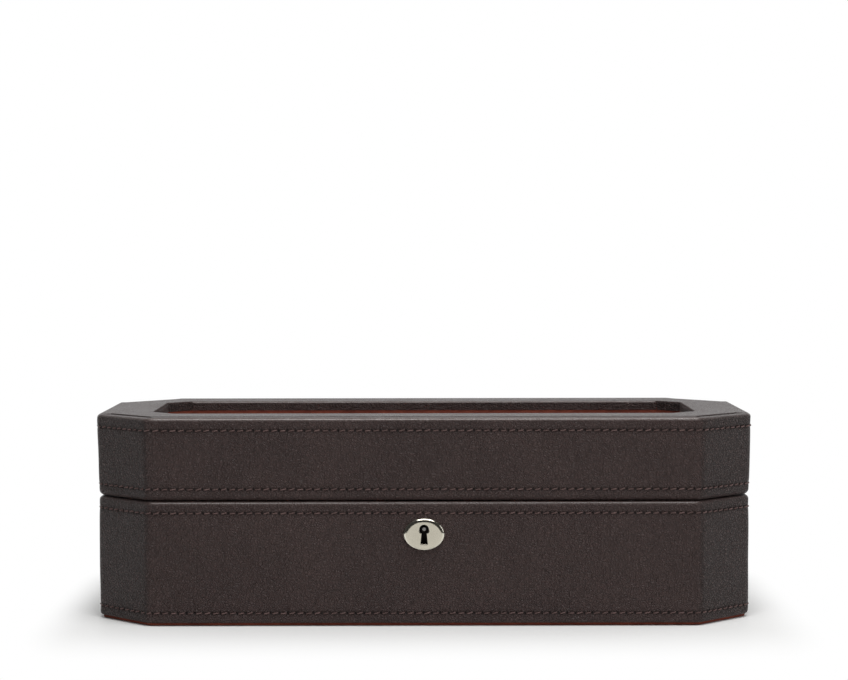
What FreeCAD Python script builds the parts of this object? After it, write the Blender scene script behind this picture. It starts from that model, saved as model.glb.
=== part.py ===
import FreeCAD, Part
import math
import os

# Watch box with cut corners, a glazed lid and a lock. Millimetres, +Z up.
# The front faces -Y, +X is to the right, and the origin is under the middle of the box.

# Outside of the box
BOX_WIDTH = 343.0
BOX_DEPTH = 146.0
BOX_HEIGHT = 108.0
CORNER_CUT = 28.5
CORNER_ROUND = 4.0
EDGE_ROUND = 3.0
RIM_HEIGHT = 64.4
SEAM_GAP = 0.6

# Walls: leather outside, a board, and a lining inside
LEATHER = 1.2
BOARD = 9.0
LINING = 0.8
LINING_DROP = 1.0

# Bottom of the base
PANEL_THICK = 2.0
PANEL_INSET = 2.0
PANEL_ROUND = 0.5
FLOOR_THICK = 6.0
FLOOR_LINING = 1.2

# Compartments and cushions
COMPARTMENTS = 5
DIVIDER_THICK = 4.0
DIVIDER_HEIGHT = 40.0
DIVIDER_ROUND = 1.8
CUSHION_HEIGHT = 44.0
CUSHION_CROWN = 2.0
CUSHION_SIDE_GAP = 2.0
CUSHION_CORNER_GAP = 2.0
STRAP_GAP = 16.0
CUSHION_FLAT = 14.0
CUSHION_DRAW = 5.0
CUSHION_STATIONS = (1.0, 0.85, 0.5, 0.0)
CUSHION_SWELL = 1.5
CUSHION_FOOT_ROUND = 7.0
CUSHION_TOP_ROUND = 14.0

# Lid and its window
TOP_BOARD = 7.0
TOP_SEAM_INSET = 3.6
TOP_SEAM_GAP = 0.15
WINDOW_BORDER = 28.0
WINDOW_ROUND = 2.0
WINDOW_CORNER = 3.0
LEATHER_TURN_DOWN = 4.5
GLASS_THICK = 3.0
GLASS_LAP = 8.0
GLASS_CLEARANCE = 0.3
RETAINER_THICK = 4.0
RETAINER_MARGIN = 0.5

# Hinges
HINGE_END_DISTANCE = 53.0
HINGE_LENGTH = 36.0
HINGE_KNUCKLE = 10.0
HINGE_BARREL_RADIUS = 1.8
HINGE_PIN_RADIUS = 0.9
HINGE_RUNNING_CLEARANCE = 0.05
HINGE_KNUCKLE_GAP = 0.3
HINGE_ROOM = 0.3
HINGE_HEAD_RADIUS = 1.4
HINGE_HEAD_LENGTH = 0.6
HINGE_LEAF_MARGIN = 1.0
HINGE_SCREW_SPACING = 22.0

# Lock in the front of the base, link plate in the lid
LOCK_CASE_HEIGHT = 22.2
LOCK_CASE_WALL = 0.8
LOCK_BACK_SKIN = 0.8
LOCK_PIN_DROP = 14.2
LOCK_PIN_RADIUS = 0.9
LOCK_PIN_PROUD = 0.5
SELVEDGE_LENGTH = 52.0
SELVEDGE_EAR = 6.0
LOCK_SCREW_END_DISTANCE = 3.5
BOLT_END_ROOM = 0.7
BOLT_TRAVEL = 5.0
BOLT_HEIGHT = 3.5
BOLT_CLEARANCE = 0.2
BOLT_RISE = 3.3
TALON_WIDTH = 5.0
TALON_DEPTH = 1.6
SHELF_LENGTH = 6.7
SHELF_HEIGHT = 3.0
SPRING_ROOM = 0.3
SPRING_FOOT = 3.0
SPRING_WIDTH = 3.0
SPRING_THICK = 0.4
LOOP_THICK = 2.0
LOOP_WALL = 0.8
LOOP_BOLT_ROOM = 0.4
LOOP_SWING_ROOM = 0.6
LOOP_SIDE_ROOM = 0.4
FINGER_HEIGHT = 2.2
FINGER_LENGTH = 4.4
FINGER_POST = 2.5
FINGER_POST_END = 1.8
FINGER_ROOM = 0.4

# Keyhole and its oval escutcheon
KEYHOLE_RADIUS = 2.45
KEYHOLE_NECK = 2.2
KEYHOLE_FOOT = 3.8
KEYHOLE_DROP = 7.6
KEYHOLE_ROOM = 0.3
ESCUTCHEON_WIDTH = 21.4
ESCUTCHEON_HEIGHT = 16.8
ESCUTCHEON_THICK = 2.0
ESCUTCHEON_ROUND = 1.5
ESCUTCHEON_DROP = 2.6
PRONG_RADIUS = 0.6
PRONG_LENGTH = 2.2
PRONG_SPACING = 16.4

# Countersunk screws
SCREW_HEAD_RADIUS = 1.9
SCREW_SHANK_RADIUS = 1.0
SCREW_LENGTH = 9.0
SCREW_SLOT_WIDTH = 0.5
SCREW_SLOT_DEPTH = 0.4

# Heights and insets that follow from the sizes above
LID_BOTTOM = RIM_HEIGHT + SEAM_GAP
BOARD_INSET = LEATHER + BOARD
LINED_INSET = BOARD_INSET + LINING
BOARD_RIM = RIM_HEIGHT - LEATHER
FLOOR_TOP = PANEL_THICK + FLOOR_THICK
INNER_FLOOR = FLOOR_TOP + FLOOR_LINING
LID_BOARD_TOP = BOX_HEIGHT - LEATHER
CEILING = LID_BOARD_TOP - TOP_BOARD
GLASS_BOTTOM = CEILING - GLASS_THICK
RETAINER_BOTTOM = GLASS_BOTTOM - RETAINER_THICK
HINGE_Y = BOX_DEPTH / 2 - HINGE_BARREL_RADIUS
HINGE_Z = RIM_HEIGHT + SEAM_GAP / 2
HINGE_SPREAD = BOX_WIDTH - 2 * (CORNER_CUT + HINGE_END_DISTANCE)
LOCK_CASE_WIDTH = SELVEDGE_LENGTH - 2 * SELVEDGE_EAR
LOCK_SCREW_SPACING = SELVEDGE_LENGTH - 2 * LOCK_SCREW_END_DISTANCE
BOLT_LENGTH = LOCK_CASE_WIDTH - 2 * (LOCK_CASE_WALL + BOLT_END_ROOM) - BOLT_TRAVEL
LOOP_SPACING = BOLT_LENGTH - BOLT_TRAVEL - LOOP_THICK - 2 * (FINGER_POST_END + FINGER_POST + BOLT_CLEARANCE)
LOOP_DROP = LOCK_PIN_DROP + SEAM_GAP - BOLT_RISE - BOLT_HEIGHT - LOOP_BOLT_ROOM
TOLERANCE = 1e-6

SIDE_NAMES = [
    "front", "front_right_corner", "right", "rear_right_corner",
    "rear", "rear_left_corner", "left", "front_left_corner",
]

parts = {}


def vec(x, y, z):
    return FreeCAD.Vector(x, y, z)


def box(x, y, z):
    # A box from its low and high limits along each axis
    return Part.makeBox(x[1] - x[0], y[1] - y[0], z[1] - z[0], vec(x[0], y[0], z[0]))


def cylinder_x(radius, x, y, z):
    # A round bar along X between two limits
    return Part.makeCylinder(radius, x[1] - x[0], vec(x[0], y, z), vec(1, 0, 0))


def cylinder_y(radius, x, y, z):
    # A round bar along Y between two limits
    return Part.makeCylinder(radius, y[1] - y[0], vec(x, y[0], z), vec(0, 1, 0))


def half_sizes(inset):
    # Half width, half depth and corner cut of the plan, drawn in by the inset on every side
    cut = CORNER_CUT - inset * (2 - math.sqrt(2))
    return BOX_WIDTH / 2 - inset, BOX_DEPTH / 2 - inset, cut


def octagon(inset, z):
    # The eight corners of the plan, from the left end of the front, round by the right
    half_x, half_y, cut = half_sizes(inset)
    near_x = half_x - cut
    near_y = half_y - cut
    return [
        vec(-near_x, -half_y, z), vec(near_x, -half_y, z),
        vec(half_x, -near_y, z), vec(half_x, near_y, z),
        vec(near_x, half_y, z), vec(-near_x, half_y, z),
        vec(-half_x, near_y, z), vec(-half_x, -near_y, z),
    ]


def upright(points, top):
    # A straight-sided solid on a closed flat outline
    face = Part.Face(Part.makePolygon(points + points[:1]))
    return face.extrude(vec(0, 0, top - points[0].z))


def prism(inset, bottom, top):
    return upright(octagon(inset, bottom), top)


def side_piece(side, outer_inset, inner_inset, bottom, top):
    # One side of the plan between two insets, mitred where it meets its neighbours
    outer = octagon(outer_inset, bottom)
    inner = octagon(inner_inset, bottom)
    after = (side + 1) % len(outer)
    return upright([outer[side], outer[after], inner[after], inner[side]], top)


def edges_at(shape, z):
    return [e for e in shape.Edges if all(abs(v.Z - z) < TOLERANCE for v in e.Vertexes)]


def edges_along(edges, direction):
    # The straight edges that run along a unit direction
    return [e for e in edges if abs(e.tangentAt(e.FirstParameter).dot(direction)) > 1 - TOLERANCE]


def standing_edges(shape):
    return edges_along(shape.Edges, vec(0, 0, 1))


def rounded_prism(inset, bottom, top):
    # The plan drawn in by the inset, with its corners and its upper and lower edges rounded
    block = prism(inset, bottom, top)
    block = block.makeFillet(CORNER_ROUND - inset, standing_edges(block))
    edges = edges_at(block, bottom) + edges_at(block, top)
    return block.makeFillet(EDGE_ROUND - inset, edges)


def window(inset, bottom, top, corner):
    # The window's hole, with rounded corners
    block = prism(inset, bottom, top)
    return block.makeFillet(corner, standing_edges(block))


def screw_solid(x, y, z, way, hole=False):
    # A countersunk screw with its head flush at z, driven up (way 1) or down (way -1)
    head_depth = SCREW_HEAD_RADIUS - SCREW_SHANK_RADIUS
    along = vec(0, 0, way)
    head = Part.makeCone(SCREW_HEAD_RADIUS, SCREW_SHANK_RADIUS, head_depth, vec(x, y, z), along)
    shank = Part.makeCylinder(SCREW_SHANK_RADIUS, SCREW_LENGTH, vec(x, y, z), along)
    screw = head.fuse(shank).removeSplitter()
    if hole:
        return screw
    reach = sorted((z - way * SCREW_SLOT_DEPTH, z + way * SCREW_SLOT_DEPTH))
    slot = box(
        (x - SCREW_HEAD_RADIUS, x + SCREW_HEAD_RADIUS),
        (y - SCREW_SLOT_WIDTH / 2, y + SCREW_SLOT_WIDTH / 2),
        reach,
    )
    return screw.cut(slot)


def cut_all(shape, cutters):
    for cutter in cutters:
        shape = shape.cut(cutter)
    return shape


# Hinges: the barrel lies in the groove between the rims, flush with the back of the box

hinge_centres = {"left": -HINGE_SPREAD / 2, "right": HINGE_SPREAD / 2}
hinge_room_radius = HINGE_BARREL_RADIUS + HINGE_ROOM
leaf_inner_y = BOX_DEPTH / 2 - BOARD_INSET + HINGE_LEAF_MARGIN
hinge_screw_y = (leaf_inner_y + HINGE_Y - hinge_room_radius) / 2


def hinge_screw_places(centre):
    return [centre - HINGE_SCREW_SPACING / 2, centre + HINGE_SCREW_SPACING / 2]


def leaf_plate(centre, bottom, top):
    return box(
        (centre - HINGE_LENGTH / 2, centre + HINGE_LENGTH / 2), (leaf_inner_y, HINGE_Y), (bottom, top)
    )


def base_leaf(centre):
    ends = [centre - HINGE_LENGTH / 2, centre + HINGE_LENGTH / 2]
    inner = [ends[0] + HINGE_KNUCKLE, ends[1] - HINGE_KNUCKLE]
    leaf = leaf_plate(centre, BOARD_RIM, RIM_HEIGHT)
    leaf = leaf.cut(cylinder_x(hinge_room_radius, inner, HINGE_Y, HINGE_Z))
    for limits in ((ends[0], inner[0]), (inner[1], ends[1])):
        leaf = leaf.fuse(cylinder_x(HINGE_BARREL_RADIUS, limits, HINGE_Y, HINGE_Z))
    leaf = leaf.cut(cylinder_x(HINGE_PIN_RADIUS, ends, HINGE_Y, HINGE_Z))
    holes = [screw_solid(x, hinge_screw_y, RIM_HEIGHT, -1, True) for x in hinge_screw_places(centre)]
    return cut_all(leaf, holes).removeSplitter()


def lid_leaf(centre):
    ends = [centre - HINGE_LENGTH / 2, centre + HINGE_LENGTH / 2]
    inner = [ends[0] + HINGE_KNUCKLE, ends[1] - HINGE_KNUCKLE]
    knuckle = [inner[0] + HINGE_KNUCKLE_GAP, inner[1] - HINGE_KNUCKLE_GAP]
    leaf = leaf_plate(centre, LID_BOTTOM, LID_BOTTOM + LEATHER)
    for limits in ((ends[0], knuckle[0]), (knuckle[1], ends[1])):
        leaf = leaf.cut(cylinder_x(hinge_room_radius, limits, HINGE_Y, HINGE_Z))
    leaf = leaf.fuse(cylinder_x(HINGE_BARREL_RADIUS, knuckle, HINGE_Y, HINGE_Z))
    bore = HINGE_PIN_RADIUS + HINGE_RUNNING_CLEARANCE
    leaf = leaf.cut(cylinder_x(bore, ends, HINGE_Y, HINGE_Z))
    holes = [screw_solid(x, hinge_screw_y, LID_BOTTOM, 1, True) for x in hinge_screw_places(centre)]
    return cut_all(leaf, holes).removeSplitter()


def hinge_pin(centre):
    half = HINGE_LENGTH / 2
    pin = cylinder_x(HINGE_PIN_RADIUS, (centre - half, centre + half), HINGE_Y, HINGE_Z)
    for start in (centre - half - HINGE_HEAD_LENGTH, centre + half):
        head = cylinder_x(HINGE_HEAD_RADIUS, (start, start + HINGE_HEAD_LENGTH), HINGE_Y, HINGE_Z)
        pin = pin.fuse(head)
    return pin.removeSplitter()


hinge_rooms = []
base_leaf_seats = []
lid_leaf_seats = []
hinge_base_holes = []
hinge_lid_holes = []
hinge_base_screws = []
hinge_lid_screws = []
for hinge_side, hinge_x in hinge_centres.items():
    reach = HINGE_LENGTH / 2 + HINGE_HEAD_LENGTH + HINGE_ROOM
    hinge_rooms.append(cylinder_x(hinge_room_radius, (hinge_x - reach, hinge_x + reach), HINGE_Y, HINGE_Z))
    base_leaf_seats.append(leaf_plate(hinge_x, BOARD_RIM, RIM_HEIGHT))
    lid_leaf_seats.append(leaf_plate(hinge_x, LID_BOTTOM, LID_BOTTOM + LEATHER))
    parts["hinge_%s_base_leaf" % hinge_side] = base_leaf(hinge_x)
    parts["hinge_%s_lid_leaf" % hinge_side] = lid_leaf(hinge_x)
    parts["hinge_%s_pin" % hinge_side] = hinge_pin(hinge_x)
    for screw_x in hinge_screw_places(hinge_x):
        hinge_base_holes.append(screw_solid(screw_x, hinge_screw_y, RIM_HEIGHT, -1, True))
        hinge_lid_holes.append(screw_solid(screw_x, hinge_screw_y, LID_BOTTOM, 1, True))
        hinge_base_screws.append(screw_solid(screw_x, hinge_screw_y, RIM_HEIGHT, -1))
        hinge_lid_screws.append(screw_solid(screw_x, hinge_screw_y, LID_BOTTOM, 1))
parts["hinge_base_screws"] = Part.makeCompound(hinge_base_screws)
parts["hinge_lid_screws"] = Part.makeCompound(hinge_lid_screws)

# Lock: its case stands in a slot in the front board, below the selvedge plate let into the rim

case_x = (-LOCK_CASE_WIDTH / 2, LOCK_CASE_WIDTH / 2)
case_y = (EDGE_ROUND - BOX_DEPTH / 2, BOARD_INSET - LOCK_BACK_SKIN - BOX_DEPTH / 2)
case_z = (BOARD_RIM - LOCK_CASE_HEIGHT, BOARD_RIM)
room_x = (case_x[0] + LOCK_CASE_WALL, case_x[1] - LOCK_CASE_WALL)
room_y = (case_y[0] + LOCK_CASE_WALL, case_y[1] - LOCK_CASE_WALL)
room_z = (case_z[0] + LOCK_CASE_WALL, case_z[1])
selvedge_x = (-SELVEDGE_LENGTH / 2, SELVEDGE_LENGTH / 2)
lock_y = (case_y[0] + case_y[1]) / 2
lock_pin_z = RIM_HEIGHT - LOCK_PIN_DROP
lock_screw_places = [-LOCK_SCREW_SPACING / 2, LOCK_SCREW_SPACING / 2]
bolt_bottom = lock_pin_z + BOLT_RISE
bolt_top = bolt_bottom + BOLT_HEIGHT
loop_places = [-LOOP_SPACING / 2, LOOP_SPACING / 2]
loop_y = (room_y[0] + LOOP_SWING_ROOM, room_y[1] - LOOP_SWING_ROOM)
loop_bottom = LID_BOTTOM - LOOP_DROP
loop_hole_bottom = loop_bottom + LOOP_WALL
finger_bottom = loop_hole_bottom + FINGER_ROOM


def keyhole(room, y):
    # Round hole over a slot that widens downwards, cut along Y between two limits
    hole = cylinder_y(KEYHOLE_RADIUS + room, 0, y, lock_pin_z)
    foot_z = lock_pin_z - KEYHOLE_DROP - room
    neck = KEYHOLE_NECK / 2 + room
    foot = KEYHOLE_FOOT / 2 + room
    corners = [
        vec(-neck, y[0], lock_pin_z), vec(neck, y[0], lock_pin_z),
        vec(foot, y[0], foot_z), vec(-foot, y[0], foot_z),
    ]
    slot = Part.Face(Part.makePolygon(corners + corners[:1])).extrude(vec(0, y[1] - y[0], 0))
    return hole.fuse(slot).removeSplitter()


def lock_case():
    case = box(case_x, case_y, case_z).cut(box(room_x, room_y, room_z))
    shelf_z = (bolt_bottom - SHELF_HEIGHT, bolt_bottom)
    shelf_spans = (
        (room_x[0], room_x[0] + SHELF_LENGTH),
        (room_x[1] - SHELF_LENGTH, room_x[1]),
    )
    for span in shelf_spans:
        case = case.fuse(box(span, room_y, shelf_z))
    case = case.cut(keyhole(KEYHOLE_ROOM, (case_y[0], room_y[0])))
    case = case.cut(cylinder_y(LOCK_PIN_RADIUS, 0, (room_y[1], case_y[1]), lock_pin_z))
    return case.removeSplitter()


def selvedge():
    plate = box(selvedge_x, case_y, (BOARD_RIM, RIM_HEIGHT))
    for x in loop_places:
        half = LOOP_THICK / 2 + LOOP_SIDE_ROOM
        plate = plate.cut(box((x - half, x + half), room_y, (BOARD_RIM, RIM_HEIGHT)))
    return cut_all(plate, [screw_solid(x, lock_y, RIM_HEIGHT, -1, True) for x in lock_screw_places])


def lock_bolt():
    # Drawn back to the left: its two fingers stand just short of the lid's loops
    left = -(BOLT_LENGTH + BOLT_TRAVEL) / 2
    bar_y = (room_y[0] + BOLT_CLEARANCE, room_y[1] - BOLT_CLEARANCE)
    bolt = box((left, left + BOLT_LENGTH), bar_y, (bolt_bottom, bolt_top))
    talon = -BOLT_TRAVEL / 2
    notch_x = (talon - TALON_WIDTH / 2, talon + TALON_WIDTH / 2)
    bolt = bolt.cut(box(notch_x, bar_y, (bolt_bottom, bolt_bottom + TALON_DEPTH)))
    half_hole = (loop_y[1] - loop_y[0]) / 2 - LOOP_WALL - FINGER_ROOM
    finger_y = (lock_y - half_hole, lock_y + half_hole)
    for x in loop_places:
        post_right = x - LOOP_THICK / 2 - BOLT_CLEARANCE - BOLT_TRAVEL
        post_x = (post_right - FINGER_POST, post_right)
        bolt = bolt.fuse(box(post_x, finger_y, (bolt_top, finger_bottom + FINGER_HEIGHT)))
        finger_x = (post_right, post_right + FINGER_LENGTH)
        bolt = bolt.fuse(box(finger_x, finger_y, (finger_bottom, finger_bottom + FINGER_HEIGHT)))
    return bolt.removeSplitter()


def bolt_spring():
    # A strip of spring steel bent to a half ring: its foot lies on the case floor, its tip rubs the bolt
    half_y = SPRING_WIDTH / 2
    middle = (room_z[0] + bolt_bottom - BOLT_CLEARANCE) / 2
    radius = (bolt_bottom - BOLT_CLEARANCE - room_z[0]) / 2
    place = room_x[1] - SHELF_LENGTH - SPRING_ROOM - radius
    span = (lock_y - half_y, lock_y + half_y)
    ring = cylinder_y(radius, place, span, middle)
    ring = ring.cut(cylinder_y(radius - SPRING_THICK, place, span, middle))
    bend = ring.common(box((place, place + radius), span, (room_z[0], bolt_bottom)))
    foot_x = (place - SPRING_FOOT, place)
    foot = box(foot_x, span, (room_z[0], room_z[0] + SPRING_THICK))
    return bend.fuse(foot).removeSplitter()


def link_plate():
    plate = box(selvedge_x, case_y, (LID_BOTTOM, LID_BOTTOM + LEATHER))
    hole_y = (loop_y[0] + LOOP_WALL, loop_y[1] - LOOP_WALL)
    hole_z = (loop_hole_bottom, finger_bottom + FINGER_HEIGHT + FINGER_ROOM)
    for x in loop_places:
        span = (x - LOOP_THICK / 2, x + LOOP_THICK / 2)
        loop = box(span, loop_y, (loop_bottom, LID_BOTTOM))
        plate = plate.fuse(loop.cut(box(span, hole_y, hole_z)))
    holes = [screw_solid(x, lock_y, LID_BOTTOM, 1, True) for x in lock_screw_places]
    return cut_all(plate, holes).removeSplitter()


def prongs(radius):
    face_y = -BOX_DEPTH / 2
    z = lock_pin_z - ESCUTCHEON_DROP
    return [
        cylinder_y(radius, x, (face_y, face_y + PRONG_LENGTH), z)
        for x in (-PRONG_SPACING / 2, PRONG_SPACING / 2)
    ]


def escutcheon():
    # Oval plate with a rounded rim, held by two prongs at its back
    oval = Part.Ellipse(vec(0, 0, 0), ESCUTCHEON_WIDTH / 2, ESCUTCHEON_HEIGHT / 2)
    plate = Part.Face(Part.Wire(oval.toShape())).extrude(vec(0, 0, ESCUTCHEON_THICK))
    plate = plate.makeFillet(ESCUTCHEON_ROUND, edges_at(plate, ESCUTCHEON_THICK))
    plate.rotate(vec(0, 0, 0), vec(1, 0, 0), 90)
    plate.translate(vec(0, -BOX_DEPTH / 2, lock_pin_z - ESCUTCHEON_DROP))
    plate = plate.cut(keyhole(0, (-BOX_DEPTH / 2 - ESCUTCHEON_THICK, -BOX_DEPTH / 2)))
    for prong in prongs(PRONG_RADIUS):
        plate = plate.fuse(prong)
    return plate.removeSplitter()


parts["lock_case"] = lock_case()
parts["lock_selvedge"] = selvedge()
parts["lock_bolt"] = lock_bolt()
parts["lock_bolt_spring"] = bolt_spring()
parts["lock_escutcheon"] = escutcheon()
pin_y = (-BOX_DEPTH / 2 - LOCK_PIN_PROUD, case_y[1])
parts["lock_drill_pin"] = cylinder_y(LOCK_PIN_RADIUS, 0, pin_y, lock_pin_z)
parts["lid_link_plate"] = link_plate()
parts["lock_screws"] = Part.makeCompound(
    [screw_solid(x, lock_y, RIM_HEIGHT, -1) for x in lock_screw_places]
)
parts["link_plate_screws"] = Part.makeCompound(
    [screw_solid(x, lock_y, LID_BOTTOM, 1) for x in lock_screw_places]
)
lock_base_holes = [screw_solid(x, lock_y, RIM_HEIGHT, -1, True) for x in lock_screw_places]
lock_lid_holes = [screw_solid(x, lock_y, LID_BOTTOM, 1, True) for x in lock_screw_places]
keyhole_passage = keyhole(KEYHOLE_ROOM, (-BOX_DEPTH / 2, case_y[0]))

# Base: boards inside a leather band that turns over the rim and under the bottom edge

base_core = rounded_prism(LEATHER, PANEL_THICK + LEATHER, BOARD_RIM)
base_shell = rounded_prism(0, PANEL_THICK, RIM_HEIGHT)
base_band = base_shell.cut(base_core).cut(prism(BOARD_INSET, 0, BOX_HEIGHT))
band_cuts = hinge_rooms + base_leaf_seats + prongs(PRONG_RADIUS) + [keyhole_passage]
band_cuts.append(box(selvedge_x, case_y, (BOARD_RIM, RIM_HEIGHT)))
parts["base_leather_band"] = cut_all(base_band, band_cuts)

for side, side_name in enumerate(SIDE_NAMES):
    board = side_piece(side, LEATHER, BOARD_INSET, PANEL_THICK + LEATHER, BOARD_RIM).common(base_core)
    if side_name == "front":
        front_cuts = lock_base_holes + prongs(PRONG_RADIUS) + [keyhole_passage]
        board = cut_all(board.cut(box(case_x, case_y, case_z)), front_cuts)
    if side_name == "rear":
        board = cut_all(board, hinge_rooms + hinge_base_holes)
    parts["base_%s_board" % side_name] = board

panel = prism(PANEL_INSET, 0, PANEL_THICK)
parts["bottom_panel"] = panel.makeFillet(PANEL_ROUND, edges_at(panel, 0))
parts["base_floor_board"] = prism(BOARD_INSET, PANEL_THICK, FLOOR_TOP)
parts["base_floor_lining"] = prism(LINED_INSET, FLOOR_TOP, INNER_FLOOR)
parts["base_lining_panels"] = Part.makeCompound([
    side_piece(side, BOARD_INSET, LINED_INSET, FLOOR_TOP, RIM_HEIGHT - LINING_DROP)
    for side in range(len(SIDE_NAMES))
])

# Dividers and cushions share the room between the linings

room_half_x, room_half_y, room_cut = half_sizes(LINED_INSET)
compartment = (2 * room_half_x - (COMPARTMENTS - 1) * DIVIDER_THICK) / COMPARTMENTS
pitch = compartment + DIVIDER_THICK
compartment_centres = [(i - (COMPARTMENTS - 1) / 2) * pitch for i in range(COMPARTMENTS)]

for number, centre in enumerate(compartment_centres[:-1], start=1):
    wall = centre + pitch / 2
    divider = box(
        (wall - DIVIDER_THICK / 2, wall + DIVIDER_THICK / 2),
        (-room_half_y, room_half_y),
        (INNER_FLOOR, INNER_FLOOR + DIVIDER_HEIGHT),
    )
    top_edges = edges_along(edges_at(divider, INNER_FLOOR + DIVIDER_HEIGHT), vec(0, 1, 0))
    parts["divider_%d" % number] = divider.makeFillet(DIVIDER_ROUND, top_edges)


def cushion_section(x, half_depth, bottom, top, crown):
    # Outline across the cushion: flat foot, rounded lower edges, large upper rounds, crowned top
    foot = CUSHION_FOOT_ROUND
    head = CUSHION_TOP_ROUND
    slant = math.sqrt(0.5)
    edges = []

    def line(a, b):
        edges.append(Part.makeLine(vec(x, *a), vec(x, *b)))

    def arc(a, middle, b):
        edges.append(Part.Arc(vec(x, *a), vec(x, *middle), vec(x, *b)).toShape())

    def corner(way, up, radius, height):
        # Point on a corner's round, half way along it
        return (way * (half_depth - radius * (1 - slant)), height + up * radius * (1 - slant))

    line((foot - half_depth, bottom), (half_depth - foot, bottom))
    arc((half_depth - foot, bottom), corner(1, 1, foot, bottom), (half_depth, bottom + foot))
    line((half_depth, bottom + foot), (half_depth, top - head))
    arc((half_depth, top - head), corner(1, -1, head, top), (half_depth - head, top))
    arc((half_depth - head, top), (0, top + crown), (head - half_depth, top))
    arc((head - half_depth, top), corner(-1, -1, head, top), (-half_depth, top - head))
    line((-half_depth, top - head), (-half_depth, bottom + foot))
    arc((-half_depth, bottom + foot), corner(-1, 1, foot, bottom), (foot - half_depth, bottom))
    return Part.Wire(edges)


cushion_half = compartment / 2 - CUSHION_SIDE_GAP
cushion_mid_depth = room_half_y - STRAP_GAP
corner_line = room_half_x + room_half_y - room_cut
cushion_end_depth = corner_line - (compartment_centres[-1] + cushion_half) - CUSHION_CORNER_GAP


def watch_cushion(centre):
    # Ruled through sections along X: full in the middle, drawn in towards both side faces
    left_half = [(-1, share) for share in CUSHION_STATIONS]
    right_half = [(1, share) for share in reversed(CUSHION_STATIONS)]
    sections = []
    for way, share in left_half + right_half:
        drawn = share ** CUSHION_SWELL
        x = centre + way * (CUSHION_FLAT + share * (cushion_half - CUSHION_FLAT))
        half_depth = cushion_mid_depth - drawn * (cushion_mid_depth - cushion_end_depth)
        bottom = INNER_FLOOR + drawn * CUSHION_DRAW
        top = INNER_FLOOR + CUSHION_HEIGHT - drawn * CUSHION_DRAW
        crown = CUSHION_CROWN * (1 - drawn / 2)
        sections.append(cushion_section(x, half_depth, bottom, top, crown))
    return Part.makeLoft(sections, True, True)


for number, centre in enumerate(compartment_centres, start=1):
    parts["watch_cushion_%d" % number] = watch_cushion(centre)

# Lid: boards and a top board with the window, inside a leather band and a top leather

lid_core = rounded_prism(LEATHER, LID_BOTTOM + LEATHER, LID_BOARD_TOP)
lid_shell = rounded_prism(0, LID_BOTTOM, BOX_HEIGHT)
lid_band = lid_shell.cut(lid_core).cut(prism(BOARD_INSET, 0, CEILING))
lid_band = lid_band.cut(prism(TOP_SEAM_INSET, CEILING, BOX_HEIGHT))
lid_cuts = hinge_rooms + lid_leaf_seats
lid_cuts.append(box(selvedge_x, case_y, (LID_BOTTOM, LID_BOTTOM + LEATHER)))
parts["lid_leather_band"] = cut_all(lid_band, lid_cuts)

for side, side_name in enumerate(SIDE_NAMES):
    board = side_piece(side, LEATHER, BOARD_INSET, LID_BOTTOM + LEATHER, CEILING).common(lid_core)
    if side_name == "front":
        board = cut_all(board, lock_lid_holes)
    if side_name == "rear":
        board = cut_all(board, hinge_rooms + hinge_lid_holes)
    parts["lid_%s_board" % side_name] = board

board_hole_inset = WINDOW_BORDER - LEATHER
board_hole_corner = WINDOW_CORNER + LEATHER


def window_frame(outer_inset, hole_inset, corner, bottom, top, edge_round):
    # A flat frame round the window, with the upper edge of its hole rounded
    block = prism(outer_inset, bottom, top)
    frame = block.cut(window(hole_inset, bottom, top, corner))
    outline = Part.makeCompound(edges_at(block, top))
    rim = [e for e in edges_at(frame, top) if outline.distToShape(e)[0] > TOLERANCE]
    return frame.makeFillet(edge_round, rim)


top_board_form = window_frame(
    0, board_hole_inset, board_hole_corner, CEILING, LID_BOARD_TOP, WINDOW_ROUND - LEATHER
)
parts["lid_top_board"] = top_board_form.common(lid_core)

turn_down_z = BOX_HEIGHT - LEATHER_TURN_DOWN
top_leather_form = window_frame(
    TOP_SEAM_INSET + TOP_SEAM_GAP, WINDOW_BORDER, WINDOW_CORNER, turn_down_z, BOX_HEIGHT, WINDOW_ROUND
)
parts["lid_top_leather"] = top_leather_form.cut(top_board_form)

liner = window(board_hole_inset, CEILING, turn_down_z, board_hole_corner)
parts["window_liner"] = liner.cut(window(WINDOW_BORDER, CEILING, turn_down_z, WINDOW_CORNER))

glass_inset = WINDOW_BORDER - GLASS_LAP
parts["window_glass"] = prism(glass_inset, GLASS_BOTTOM, CEILING)
glass_room = prism(glass_inset - GLASS_CLEARANCE, GLASS_BOTTOM, CEILING)
parts["glass_retainer"] = Part.makeCompound([
    side_piece(side, LINED_INSET, WINDOW_BORDER + RETAINER_MARGIN, RETAINER_BOTTOM, CEILING).cut(glass_room)
    for side in range(len(SIDE_NAMES))
])
parts["lid_lining_panels"] = Part.makeCompound([
    side_piece(side, BOARD_INSET, LINED_INSET, LID_BOTTOM + LINING_DROP, CEILING)
    for side in range(len(SIDE_NAMES))
])

os.makedirs("parts", exist_ok=True)
for name, shape in parts.items():
    shape.exportStep("parts/%s.step" % name)
    print(name, len(shape.Solids), shape.isValid(), round(shape.Volume))
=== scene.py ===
import math
import bpy
import numpy as np
from mathutils import Matrix


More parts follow.
